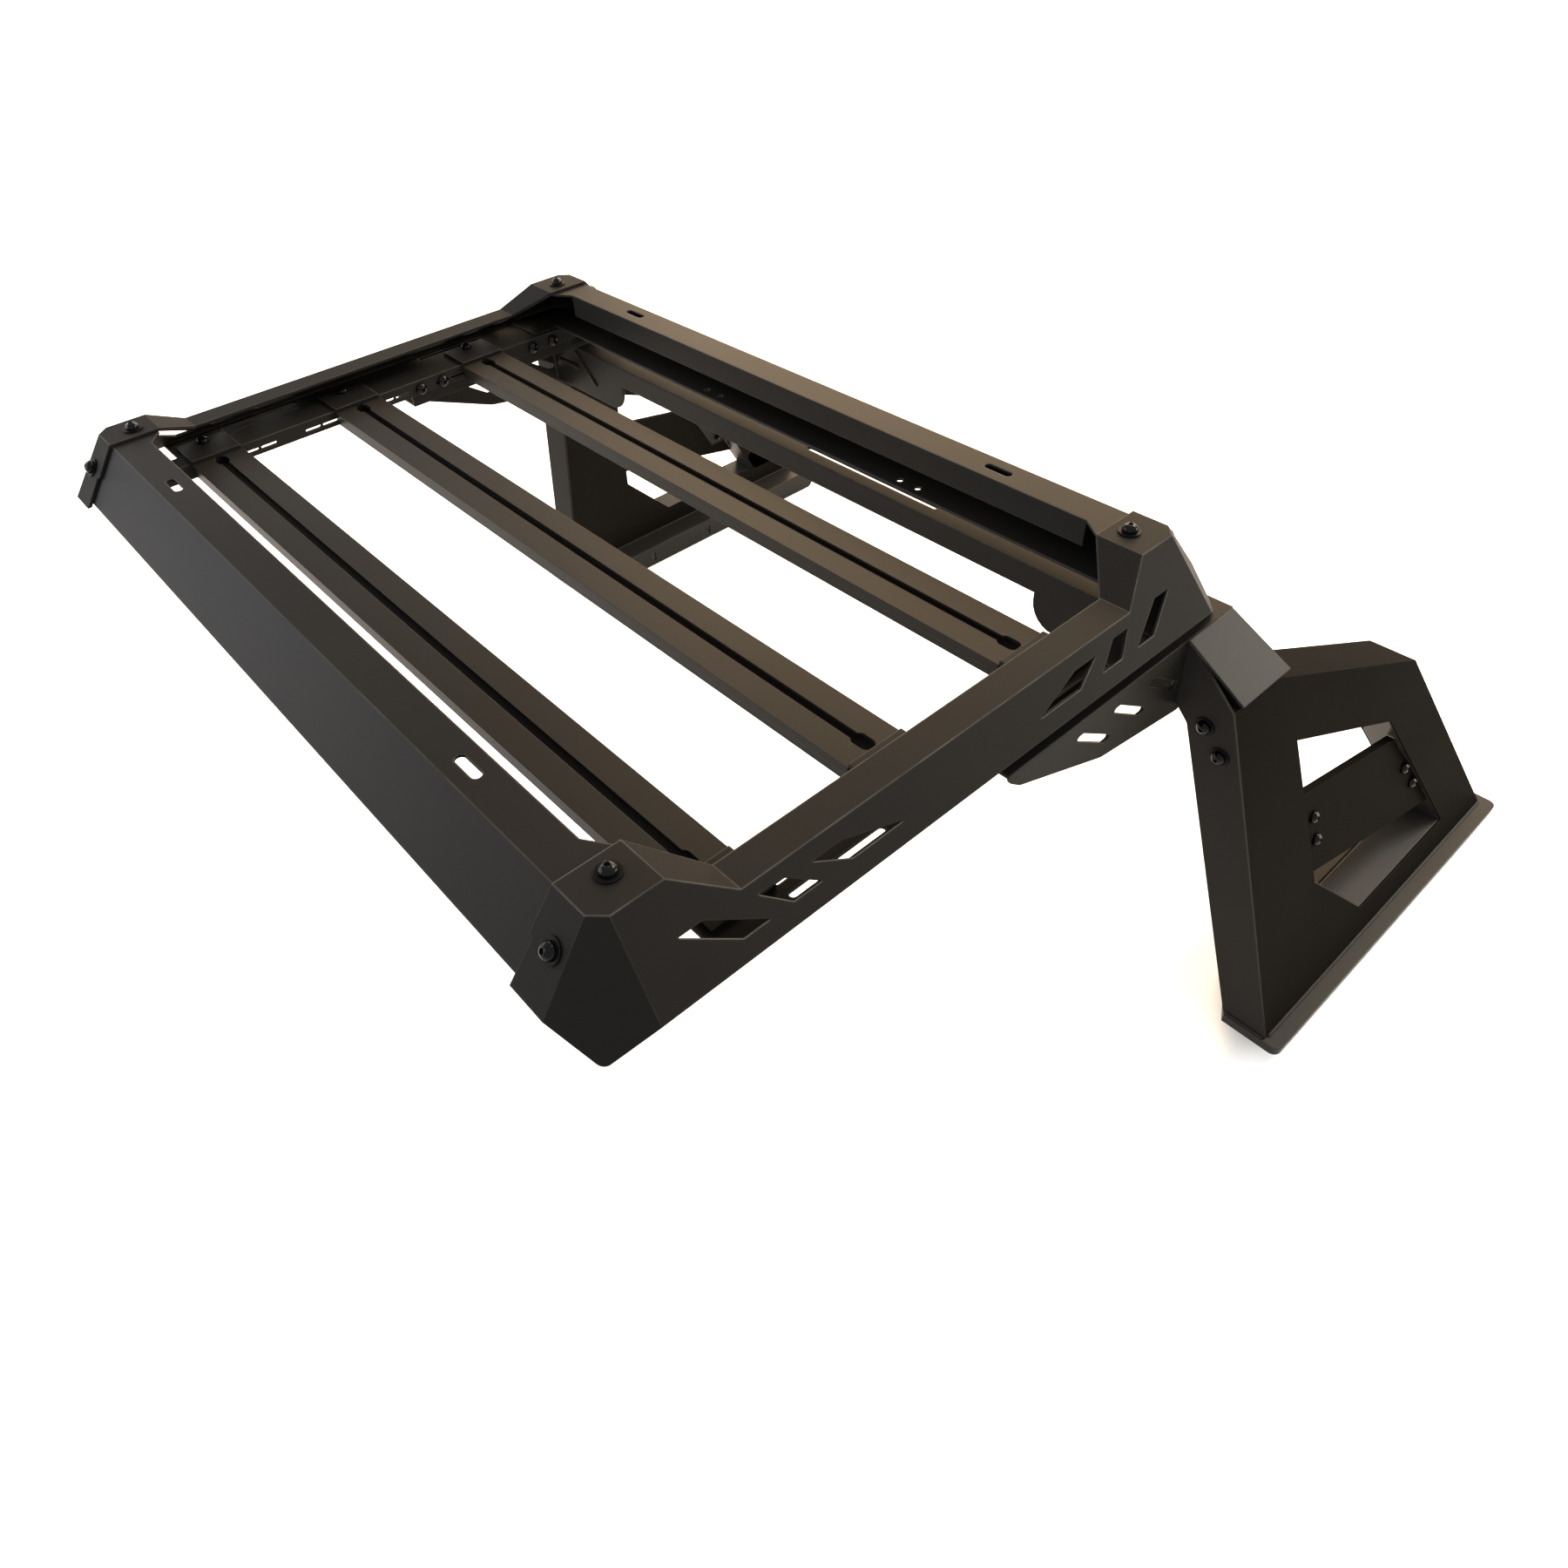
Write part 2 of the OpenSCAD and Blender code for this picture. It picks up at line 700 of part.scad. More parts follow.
// Rear beam between the two brackets, with deep rounded ears at its ends
module rear_beam() {
    wall = arm_x - bracket_t;
    low = beam_top - beam_h;
    ear = [
        [0, beam_top], [0, low], [beam_reach, low], [beam_reach, low - ear_drop],
        [wall, low - ear_drop], [wall, arm_top - bracket_t], [arm_in, arm_top - bracket_t],
        [arm_in, beam_top]
    ];
    color(finish) placed() {
        both_sides()
            along_y(beam_y, beam_y + beam_t)
                polygon(rounded(ear, [0, 0, 0, ear_r, 0, 0, 0, 0]));
        difference() {
            box([-arm_in, beam_y, beam_top - beam_t], [arm_in, beam_y + beam_flange_w, beam_top]);
            translate([beam_slot[0] / 2, beam_y + beam_flange_w - beam_slot[1] * 1.5, beam_top - beam_t - 1])
                linear_extrude(beam_t + 2)
                    slot2d(beam_slot[0], beam_slot[1]);
        }
    }
}

// Bracket arm: upstand behind the tray's lip, level plate and pierced web in one bent sheet
module arm_web_outline() {
    pts = [
        [arm_span[0], arm_top], [arm_span[0] + 4, arm_top - nose_r],
        [arm_knee[0], arm_top - arm_web[0]], [arm_knee[1], arm_top - arm_web[1]],
        [leg_front[1] + 4, arm_top - arm_web[2]], [arm_span[1], arm_top - arm_web[2] + 22],
        [arm_span[1], arm_top]
    ];
    polygon(rounded(pts, [0, 4, 9, 40, 10, 6, 0]));
}
module arm_hole_outline(i) {
    y = hole_y + i * hole_pitch;
    z = arm_top - hole_form[3];
    pts = [
        [y, z], [y + hole_form[1], z - hole_form[2]],
        [y + hole_form[1] + hole_form[0], z - hole_form[2]], [y + hole_form[0], z]
    ];
    polygon(rounded(pts, [4, 3, 4, 3]));
}
module bracket_arm() {
    low = arm_top - bracket_t;
    color(finish)
        difference() {
            union() {
                box([arm_in, arm_span[0], low], [arm_x, arm_span[1], arm_top]);
                along_x(arm_in, arm_in + bracket_t)
                    polygon(rounded(
                        [[arm_span[0], low], [ramp_hi + 30, low], [ramp_hi + 30, -wall_drop - 1],
                         [arm_span[0], -wall_drop - 1]],
                        [0, 0, nose_r, nose_r]
                    ));
                along_x(arm_x - bracket_t, arm_x)
                    difference() {
                        arm_web_outline();
                        for (i = [0 : 2]) arm_hole_outline(i);
                    }
            }
            at_arm_bolts() bolt_hole();
        }
}
module bracket_arm_right() {
    placed() bracket_arm();
}
module bracket_arm_left() {
    placed() mirror([1, 0, 0]) bracket_arm();
}

// Shoulder cap: sloped plate from the arm's edge down to the top of the leg's outer face
leg_top_x = leg_x - leg_h * lean_x;
leg_top_z = leg_h - leg_rise;
cap_n = unit([arm_top - leg_top_z, 0, leg_top_x - arm_x]);
module shoulder_cap() {
    a = [arm_x, cap_front[0], arm_top];
    b = [leg_top_x, cap_front[1], leg_top_z];
    c = [leg_top_x, cap_front[1] + cap_width[1], leg_top_z];
    d = [arm_x, cap_front[0] + cap_width[0], arm_top];
    lift = cap_n * bracket_t;
    color(finish)
        facet([a + lift, b + lift, c + lift, d + lift], cap_n, bracket_t);
}
module shoulder_cap_right() {
    placed() shoulder_cap();
}
module shoulder_cap_left() {
    placed() mirror([1, 0, 0]) shoulder_cap();
}
// Ribs: upright plates that stand on the leg's top between the arm's web and the cap
module shoulder_ribs() {
    color(finish)
        for (y = rib_y)
            along_y(y, y + bracket_t)
                polygon([[arm_x, arm_top], [leg_top_x, leg_top_z], [arm_x, leg_top_z]]);
}
module shoulder_ribs_right() {
    placed() shoulder_ribs();
}
module shoulder_ribs_left() {
    placed() mirror([1, 0, 0]) shoulder_ribs();
}

// Legs: outlines are drawn with Y along the vehicle and H above the base, and cut from sheets
// that lean with the leg
module leg_sheet(w0, w1) {
    intersection() {
        along_x(leg_x - BIG / 10, leg_x + BIG / 50)
            translate([0, -leg_rise])
                children();
        translate([leg_x, 0, -leg_rise])
            rotate([0, -leg_lean, 0])
                translate([w0, 0, -BIG / 2])
                    cube([w1 - w0, BIG, BIG]);
    }
}
function front_at(h) = leg_front[0] - front_run * h;
leg_skirt = -leg_w;
leg_outline = [
    [front_at(leg_skirt), leg_skirt], [leg_rear - leg_skirt * strut_run, leg_skirt],
    leg_crown, [leg_front[1] + leg_flat, leg_h], [leg_front[1], leg_h]
];
function rear_at(h) = leg_rear - strut_run * h;
function top_at(y) = leg_h - (y - leg_front[1] - leg_flat) * top_fall;
open_front = leg_front[1] + column[0];
open_top = top_at(open_front) - top_member;
open_crown = crossing(
    [open_front, open_top], [1, -top_fall], [rear_at(0) - strut_w, 0], [-strut_run, 1]
);
chamfer_foot = open_front + column[1] + chamfer[1];
opening = [
    [chamfer_foot, sill[0]], [rear_at(sill[0]) - strut_w, sill[0]], open_crown,
    [open_front, open_top], [open_front + column[1], sill[0] + chamfer[0]]
];
function open_front_at(h) =
    open_front + column[1] * (open_top - h) / (open_top - sill[0] - chamfer[0]);
function open_rear_at(h) = rear_at(h) - strut_w;
// Point of a leg in the X-Z plane, at height h and depth d behind the outer face
function leg_point(h, d) = [leg_x - h * lean_x - d / cos(leg_lean), h - leg_rise];
sill_out = leg_point(sill[0], leg_t);
sill_in = leg_point(sill[1], leg_w - leg_t);
sill_u = unit(sill_in - sill_out);
// Space above the sloped sill, lowered by d
module above_sill(d) {
    drop = [0, d / abs(sill_u[0])];
    along_y(leg_front[1], leg_rear)
        polygon([
            sill_out - sill_u * leg_w - drop, sill_out - sill_u * leg_w + [0, BIG],
            sill_in + sill_u * leg_w + [0, BIG], sill_in + sill_u * leg_w - drop
        ]);
}
module above_base() {
    translate([-BIG / 2, -BIG / 2, -leg_rise])
        cube(BIG);
}
module leg_shell() {
    color(finish)
        difference() {
            intersection() {
                difference() {
                    leg_sheet(leg_t - leg_w, 0)
                        polygon(leg_outline);
                    leg_sheet(-leg_w, -leg_t)
                        polygon(grown(leg_outline, -leg_t));
                    leg_sheet(-leg_t - 1, 1)
                        polygon(opening);
                }
                above_base();
            }
            at_leg_bolts() bolt_hole();
        }
}
module leg_shell_right() {
    placed() leg_shell();
}
module leg_shell_left() {
    placed() mirror([1, 0, 0]) leg_shell();
}
module leg_inner() {
    inner_opening = [
        [chamfer_foot - (sill[1] - sill[0]) * chamfer[1] / chamfer[0], sill[1]],
        [open_rear_at(sill[1]), sill[1]], opening[2], opening[3], opening[4]
    ];
    color(finish)
        intersection() {
            leg_sheet(-leg_w, leg_t - leg_w)
                difference() {
                    polygon(leg_outline);
                    polygon(inner_opening);
                    translate([leg_rear - window[2], window_r + leg_w / 2])
                        polygon(rounded(
                            [[0, 0], [window[0], 0], [window[0] - window[1] * strut_run, window[1]],
                             [-window[1] * strut_run, window[1]]],
                            [window_r, window_r, window_r, window_r]
                        ));
                }
            above_base();
        }
}
module leg_inner_right() {
    placed() leg_inner();
}
module leg_inner_left() {
    placed() mirror([1, 0, 0]) leg_inner();
}
// Liner: the walls round the opening, its sloped sill and the tabs behind the light plate
module leg_liner() {
    back = -light_set - light_t;
    color(finish)
        difference() {
            union() {
                difference() {
                    intersection() {
                        leg_sheet(leg_t - leg_w, -leg_t)
                            polygon(grown(opening, leg_t));
                        above_sill(leg_t);
                    }
                    intersection() {
                        leg_sheet(-leg_w, 0)
                            polygon(opening);
                        above_sill(0);
                    }
                }
                leg_sheet(back - leg_t, back)
                    light_tabs();
            }
            at_light_bolts() bolt_hole();
        }
}
module light_tabs() {
    for (k = [0, 1]) {
        h = (light_top[k] + light_foot[k]) / 2;
        reach = k == 0 ? light_tab : -light_tab;
        wall = k == 0 ? function(u) open_front_at(u) : function(u) open_rear_at(u);
        polygon([
            [wall(h - light_tab), h - light_tab], [wall(h - light_tab) + reach, h - light_tab],
            [wall(h + light_tab) + reach, h + light_tab], [wall(h + light_tab), h + light_tab]
        ]);
    }
}
module leg_liner_right() {
    placed() leg_liner();
}
module leg_liner_left() {
    placed() mirror([1, 0, 0]) leg_liner();
}
// Light plate across the opening, with a bent lip along its top
light_outline = [
    [open_front_at(light_foot[0]) + light_gap, light_foot[0]],
    [open_rear_at(light_foot[1]) - light_gap, light_foot[1]],
    [open_rear_at(light_top[1]) - light_gap, light_top[1]],
    [open_front_at(light_top[0]) + light_gap, light_top[0]]
];
module light_plate() {
    a = light_outline[3];
    b = light_outline[2];
    drop = light_t * [0, 1];
    color(finish)
        difference() {
            union() {
                leg_sheet(-light_set - light_t, -light_set)
                    polygon(light_outline);
                leg_sheet(-light_set - light_t - light_lip, -light_set)
                    polygon([a, a - drop, b - drop, b]);
            }
            at_light_bolts() bolt_hole();
        }
}
module light_plate_right() {
    placed() light_plate();
}
module light_plate_left() {
    placed() mirror([1, 0, 0]) light_plate();
}
// Front plate of a leg: from the base up under the cap, flaring in to the arm's web at its top
function on_front(p) = [p[0], front_at(p[1] + leg_rise), p[1]];
module leg_face() {
    pts = [
        [arm_x, arm_top], [arm_x, leg_top_z - flare[0]], leg_point(leg_h - flare[1], leg_w),
        leg_point(0, leg_w), leg_point(0, 0), [leg_top_x, leg_top_z]
    ];
    color(finish)
        difference() {
            intersection() {
                facet([for (p = pts) on_front(p) + face_n * bracket_t], face_n, bracket_t);
                above_base();
            }
            at_leg_bolts() bolt_hole();
        }
}
module leg_face_right() {
    placed() leg_face();
}
module leg_face_left() {
    placed() mirror([1, 0, 0]) leg_face();
}

// Base plate: flat top with a turned-down rim and a slotted inner flange
module base_outline(inset) {
    r = base_r - inset / 2;
    front = base_front + inset;
    rear = base_rear - inset;
    cut = base_in + base_cut[0];
    pts = [
        [base_in, front + base_cut[1]], [cut, front], [base_x - inset, front],
        [base_x - inset, rear], [base_in, rear]
    ];
    polygon(rounded(pts, [0, 0, r, r, 0]));
}
module base_plate() {
    top = -leg_rise;
    color(finish)
        difference() {
            union() {
                translate([0, 0, rim_z])
                    linear_extrude(base_t)
                        base_outline(0);
                translate([0, 0, top - base_rim])
                    linear_extrude(base_rim)
                        difference() {
                            base_outline(0);
                            base_outline(base_t);
                        }
                along_x(base_in, base_in + base_t)
                    polygon(rounded(
                        [[base_front + base_cut[1], top],
                         [base_front + base_cut[1], top - base_flange],
                         [base_rear, top - base_flange], [base_rear, top]],
                        [0, base_r, base_r, 0]
                    ));
            }
            for (i = [0 : rail_slots - 1])
                translate([base_in - 1, base_front + rail_slot_y[0] + i * rail_slot_y[1],
                           top - base_flange / 2 - base_t / 2])
                    rotate([90, 90, 90])
                        linear_extrude(base_t + 2)
                            slot2d(rail_slot[1], rail_slot[0]);
            at_base_bolts() bolt_hole();
        }
}
module base_plate_right() {
    placed() base_plate();
}
module base_plate_left() {
    placed() mirror([1, 0, 0]) base_plate();
}

// Fasteners: each is drawn with its axis along +Z and the clamped face at z = 0
module bolt_hole() {
    translate([0, 0, -hole_reach])
        cylinder(d = hole_d, h = 2 * hole_reach);
}
module bolt(grip, under = 0) {
    length = grip + nut[1] + 2;
    color(hardware)
        translate([0, 0, under]) {
            difference() {
                intersection() {
                    cylinder(d = head[0], h = head[1]);
                    translate([0, 0, head[1] - head_dome / 2])
                        sphere(d = head_dome);
                }
                translate([0, 0, head[1] - socket_deep])
                    cylinder(d = socket_d, h = socket_deep + 1, $fn = 6);
            }
            translate([0, 0, -length - under])
                cylinder(d = bolt_d, h = length + under + 0.01);
        }
}
module big_washer() {
    color(hardware)
        difference() {
            cylinder(d = washer[0], h = washer[1]);
            translate([0, 0, -1])
                cylinder(d = hole_d, h = washer[1] + 2);
        }
}
module hex_nut(grip) {
    color(hardware)
        translate([0, 0, -grip - nut[1]])
            difference() {
                cylinder(d = nut[0], h = nut[1], $fn = 6);
                translate([0, 0, -1])
                    cylinder(d = hole_d, h = nut[1] + 2);
            }
}
module at_cap_bolt() {
    translate([cap_bolt[0], cap_bolt[1], corner_rise])
        children();
}
module at_tab_bolt() {
    p = on_end(tab_bolt_x, tab_bolt_z);
    translate(p)
        rotate([wall_lean - 90, 0, 0])
            children();
}
module at_arm_bolts() {
    for (y = arm_bolt_y)
        translate([lip_x, y, foot_top - arm_bolt_in])
            rotate([0, -90, 0])
                children();
}
module at_shoe_bolts(rows) {
    for (y = rows)
        translate([shoe_bolt_x, y, foot_top + shoe_t])
            children();
}
module at_leg_bolts() {
    for (b = leg_bolts) {
        p = leg_point(leg_h - b[1], b[0] * cos(leg_lean));
        translate(on_front(p) + face_n * bracket_t)
            rotate([90 + atan(front_run), 0, 0])
                children();
    }
}
module at_light_bolts() {
    for (k = [0, 1], s = [-1, 1]) {
        h = (light_top[k] + light_foot[k]) / 2 + s * light_bolt_half;
        y = k == 0 ? open_front_at(h) + light_bolt_in[0] : open_rear_at(h) - light_bolt_in[1];
        p = leg_point(h, light_set);
        translate([p[0], y, p[1]])
            rotate([0, 90 - leg_lean, 0])
                children();
    }
}
module at_base_bolts() {
    for (b = base_bolts)
        translate([leg_x - b[0], leg_rear - b[1], -leg_rise])
            children();
}
cap_grip = side_t + panel_t;
light_grip = light_t + leg_t;
leg_grip = bracket_t + leg_t;
shoe_grip = shoe_t + side_t;
arm_grip = side_t + bracket_t;
module cap_bolts() {
    placed() both_ends() both_sides() at_cap_bolt() bolt(cap_grip, washer[1]);
}
module cap_washers() {
    placed() both_ends() both_sides() at_cap_bolt() big_washer();
}
module cap_nuts() {
    placed() both_ends() both_sides() at_cap_bolt() hex_nut(cap_grip);
}
module tab_bolts() {
    placed() both_ends() both_sides() at_tab_bolt() bolt(cap_grip, washer[1]);
}
module tab_washers() {
    placed() both_ends() both_sides() at_tab_bolt() big_washer();
}
module tab_nuts() {
    placed() both_ends() both_sides() at_tab_bolt() hex_nut(cap_grip);
}
module shoe_bolts() {
    placed() both_sides() at_shoe_bolts(bar_y) bolt(shoe_grip);
}
module shoe_nuts() {
    placed() both_sides() at_shoe_bolts(bar_y) hex_nut(shoe_grip);
}
module arm_bolts() {
    placed() both_sides() at_arm_bolts() bolt(arm_grip);
}
module arm_nuts() {
    placed() both_sides() at_arm_bolts() hex_nut(arm_grip);
}
module leg_bolts_set() {
    placed() both_sides() at_leg_bolts() bolt(leg_grip, washer[1]);
}
module leg_washers() {
    placed() both_sides() at_leg_bolts() big_washer();
}
module leg_nuts() {
    placed() both_sides() at_leg_bolts() hex_nut(leg_grip);
}
module light_bolts() {
    placed() both_sides() at_light_bolts() bolt(light_grip);
}
module light_nuts() {
    placed() both_sides() at_light_bolts() hex_nut(light_grip);
}
module base_bolts_set() {
    placed() both_sides() at_base_bolts() bolt(-nut[1] - 2 + base_t);
}

side_panel_right();
side_panel_left();
front_panel();
rear_panel();
floor_bar_front();
floor_bar_middle();
floor_bar_rear();
bar_shoes_front();
bar_shoes_middle();
bar_shoes_rear();
rear_beam();
bracket_arm_right();
bracket_arm_left();
shoulder_cap_right();
shoulder_cap_left();
shoulder_ribs_right();
shoulder_ribs_left();
leg_face_right();
leg_face_left();
leg_shell_right();
leg_shell_left();
leg_inner_right();
leg_inner_left();
leg_liner_right();
leg_liner_left();
light_plate_right();
light_plate_left();
base_plate_right();
base_plate_left();
cap_bolts();
cap_washers();
cap_nuts();
tab_bolts();
tab_washers();
tab_nuts();
shoe_bolts();
shoe_nuts();
arm_bolts();
arm_nuts();
leg_bolts_set();
leg_washers();
leg_nuts();
light_bolts();
light_nuts();
base_bolts_set();
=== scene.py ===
import bmesh
import bpy
import math
from mathutils import Matrix, Vector


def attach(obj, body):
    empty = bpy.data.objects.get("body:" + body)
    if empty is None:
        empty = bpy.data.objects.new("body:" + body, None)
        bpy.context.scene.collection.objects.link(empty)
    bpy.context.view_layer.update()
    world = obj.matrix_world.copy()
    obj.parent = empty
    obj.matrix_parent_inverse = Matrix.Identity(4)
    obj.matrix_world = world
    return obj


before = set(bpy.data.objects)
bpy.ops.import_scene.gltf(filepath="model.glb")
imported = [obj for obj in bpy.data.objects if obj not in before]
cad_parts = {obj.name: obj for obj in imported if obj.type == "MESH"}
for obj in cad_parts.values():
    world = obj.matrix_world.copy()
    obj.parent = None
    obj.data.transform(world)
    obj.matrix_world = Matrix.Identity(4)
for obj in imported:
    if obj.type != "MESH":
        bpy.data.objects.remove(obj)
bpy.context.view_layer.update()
print("frame loaded:", len(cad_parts), "pieces")

number, tint, arrow = "NodeSocketFloat", "NodeSocketColor", "NodeSocketVector"


def nodeIn(tree, kind, place=(0, 0), **settings):
    made = tree.nodes.new(kind)
    made.location = place
    for name, value in settings.items():
        setattr(made, name, value)
    return made


def setInputs(node, values):
    for label, value in values.items():
        node.inputs[label].default_value = value


def newGroup(name, inputs, outputs):
    group = bpy.data.node_groups.new(name, "ShaderNodeTree")
    for label, kind, value in inputs:
        socket = group.interface.new_socket(label, in_out="INPUT", socket_type=kind)
        socket.default_value = value
    for label, kind in outputs:
        group.interface.new_socket(label, in_out="OUTPUT", socket_type=kind)
    start = nodeIn(group, "NodeGroupInput", (-900, 0))
    stop = nodeIn(group, "NodeGroupOutput", (700, 0))
    return group, start, stop


def rampOf(group, place, source, fromRange, least=0.0):  # stretches a range to least..1
    ramp = nodeIn(group, "ShaderNodeMapRange", place)
    setInputs(ramp, {"From Min": fromRange[0], "From Max": fromRange[1], "To Min": least})
    group.links.new(source, ramp.inputs["Value"])
    return ramp.outputs["Result"]


def timesOf(group, place, first, second):
    product = nodeIn(group, "ShaderNodeMath", place, operation="MULTIPLY")
    group.links.new(first, product.inputs[0])
    group.links.new(second, product.inputs[1])
    return product.outputs[0]


def mixOf(group, place, kind, factor, first, second):
    mix = nodeIn(group, "ShaderNodeMix", place, data_type=kind)
    group.links.new(factor, mix.inputs["Factor"])
    group.links.new(first, mix.inputs["A"])
    group.links.new(second, mix.inputs["B"])
    return mix.outputs["Result"]


grainLook = dict(peelDetail=3.0, peelRoughness=0.55, driftScale=3.1, driftDetail=4.0,
                 driftRange=(0.3, 0.7), speckHeight=0.35)


def buildCoatGrain():  # orange peel of a baked powder coat, with slow tone drift
    group, start, stop = newGroup(
        "coatGrain",
        [("Tone", tint, (0.02, 0.02, 0.02, 1)), ("Drift Tone", tint, (0.04, 0.04, 0.04, 1)),
         ("Grain Size", number, 900.0), ("Gloss Low", number, 0.4), ("Gloss High", number, 0.5)],
        [("Color", tint), ("Roughness", number), ("Height", number)])
    place = nodeIn(group, "ShaderNodeTexCoord", (-900, -260))
    peel = nodeIn(group, "ShaderNodeTexNoise", (-600, -120))
    setInputs(peel, {"Detail": grainLook["peelDetail"], "Roughness": grainLook["peelRoughness"]})
    drift = nodeIn(group, "ShaderNodeTexNoise", (-600, -420))
    setInputs(drift, {"Scale": grainLook["driftScale"], "Detail": grainLook["driftDetail"]})
    speck = nodeIn(group, "ShaderNodeTexVoronoi", (-600, -700))
    for texture in (peel, drift, speck):
        group.links.new(place.outputs["Object"], texture.inputs["Vector"])
    for texture in (peel, speck):
        group.links.new(start.outputs["Grain Size"], texture.inputs["Scale"])
    spread = rampOf(group, (-260, -380), drift.outputs["Fac"], grainLook["driftRange"])
    tone = mixOf(group, (0, 120), "RGBA", spread,
                 start.outputs["Tone"], start.outputs["Drift Tone"])
    gloss = mixOf(group, (0, -160), "FLOAT", peel.outputs["Fac"],
                  start.outputs["Gloss Low"], start.outputs["Gloss High"])
    heap = nodeIn(group, "ShaderNodeMath", (0, -420), operation="MULTIPLY_ADD")
    heap.inputs[1].default_value = grainLook["speckHeight"]
    group.links.new(speck.outputs["Distance"], heap.inputs[0])
    group.links.new(peel.outputs["Fac"], heap.inputs[2])
    group.links.new(tone, stop.inputs["Color"])
    group.links.new(gloss, stop.inputs["Roughness"])
    group.links.new(heap.outputs[0], stop.inputs["Height"])
    return group


# Painted fold highlight: how far it spreads from a fold, its noise patches and its upward-facing
# bias
highlightLook = dict(bendRange=(0.995, 0.90), patchScale=24.0, patchDetail=4.0,
               patchRange=(0.25, 0.65), patchLeast=0.35, upperRange=(0.55, 0.95), upperLeast=0.12)


def buildFoldHighlight():  # painted highlight along folds and cut edges, where rounded edges catch the light, broken up by noise
    group, start, stop = newGroup(
        "foldHighlight",
        [("Color", tint, (0.02, 0.02, 0.02, 1)), ("Highlight Tone", tint, (0.08, 0.08, 0.08, 1)),
         ("Fold Normal", arrow, (0, 0, 1)), ("Amount", number, 0.5)],
        [("Color", tint)])
    shape = nodeIn(group, "ShaderNodeNewGeometry", (-900, -300))
    meet = nodeIn(group, "ShaderNodeVectorMath", (-650, -200), operation="DOT_PRODUCT")
    group.links.new(start.outputs["Fold Normal"], meet.inputs[0])
    group.links.new(shape.outputs["Normal"], meet.inputs[1])
    bend = rampOf(group, (-420, -200), meet.outputs["Value"], highlightLook["bendRange"])
    place = nodeIn(group, "ShaderNodeTexCoord", (-900, -560))
    patch = nodeIn(group, "ShaderNodeTexNoise", (-650, -560))
    setInputs(patch, {"Scale": highlightLook["patchScale"], "Detail": highlightLook["patchDetail"]})
    group.links.new(place.outputs["Object"], patch.inputs["Vector"])
    gaps = rampOf(group, (-420, -560), patch.outputs["Fac"], highlightLook["patchRange"],
                  highlightLook["patchLeast"])
    split = nodeIn(group, "ShaderNodeSeparateXYZ", (-650, -380))
    group.links.new(start.outputs["Fold Normal"], split.inputs["Vector"])
    upper = rampOf(group, (-420, -380), split.outputs["Z"], highlightLook["upperRange"],
                   highlightLook["upperLeast"])  # painted highlight is strongest on upward-facing folds, which face the lamps above
    paintedGlint = timesOf(group, (-300, -200), bend, upper)
    foldGlint = timesOf(group, (-180, -300), paintedGlint, gaps)
    share = timesOf(group, (20, -300), foldGlint, start.outputs["Amount"])
    # mixes the painted highlight colour into the coat along the folds
    blend = mixOf(group, (300, 0), "RGBA", share,
                  start.outputs["Color"], start.outputs["Highlight Tone"])
    group.links.new(blend, stop.inputs["Color"])
    return group


coatGrain = buildCoatGrain()
foldHighlight = buildFoldHighlight()
foldSamples = 6


def coatMaterial(name, look):
    material = bpy.data.materials.new(name)
    material.use_nodes = True
    tree = material.node_tree
    tree.nodes.clear()
    out = nodeIn(tree, "ShaderNodeOutputMaterial", (700, 0))
    skin = nodeIn(tree, "ShaderNodeBsdfPrincipled", (400, 0))
    setInputs(skin, {"IOR": look["ior"]})
    grain = nodeIn(tree, "ShaderNodeGroup", (-200, 0), node_tree=coatGrain)
    setInputs(grain, {"Tone": (*look["tone"], 1), "Drift Tone": (*look["drift"], 1),
                      "Grain Size": look["grainSize"], "Gloss Low": look["glossLow"],
                      "Gloss High": look["glossHigh"]})
    fold = nodeIn(tree, "ShaderNodeBevel", (-60, -420), samples=foldSamples)  # softens folds
    setInputs(fold, {"Radius": look["fold"]})
    bump = nodeIn(tree, "ShaderNodeBump", (150, -250))
    setInputs(bump, {"Strength": look["bump"], "Distance": look["bumpDepth"]})
    # painted highlight: a lighter tone laid along folds and edges
    foldGlint = nodeIn(tree, "ShaderNodeGroup", (150, 120), node_tree=foldHighlight)
    setInputs(foldGlint, {"Highlight Tone": (*look["paintedGlint"], 1), "Amount": look["foldGlint"]})
    tree.links.new(grain.outputs["Color"], foldGlint.inputs["Color"])
    tree.links.new(fold.outputs["Normal"], foldGlint.inputs["Fold Normal"])
    tree.links.new(fold.outputs["Normal"], bump.inputs["Normal"])
    tree.links.new(grain.outputs["Height"], bump.inputs["Height"])
    tree.links.new(foldGlint.outputs["Color"], skin.inputs["Base Color"])
    tree.links.new(grain.outputs["Roughness"], skin.inputs["Roughness"])
    tree.links.new(bump.outputs["Normal"], skin.inputs["Normal"])
    tree.links.new(skin.outputs["BSDF"], out.inputs["Surface"])
    return material


# Lengths in metres, grain sizes in grains per metre
# Each look's lighter edge tone is a painted fold highlight, with its strength beside it
sheetLook = dict(tone=(0.0070, 0.0065, 0.0060), drift=(0.0092, 0.0085, 0.0077), grainSize=850.0,
                 glossLow=0.34, glossHigh=0.46, bump=0.2, bumpDepth=0.0004, ior=1.11,
                 fold=0.0026, paintedGlint=(0.10, 0.095, 0.085), foldGlint=0.7)
sideLook = dict(sheetLook, glossLow=0.52, glossHigh=0.62, ior=1.115,
                paintedGlint=(0.13, 0.126, 0.118), foldGlint=0.8)
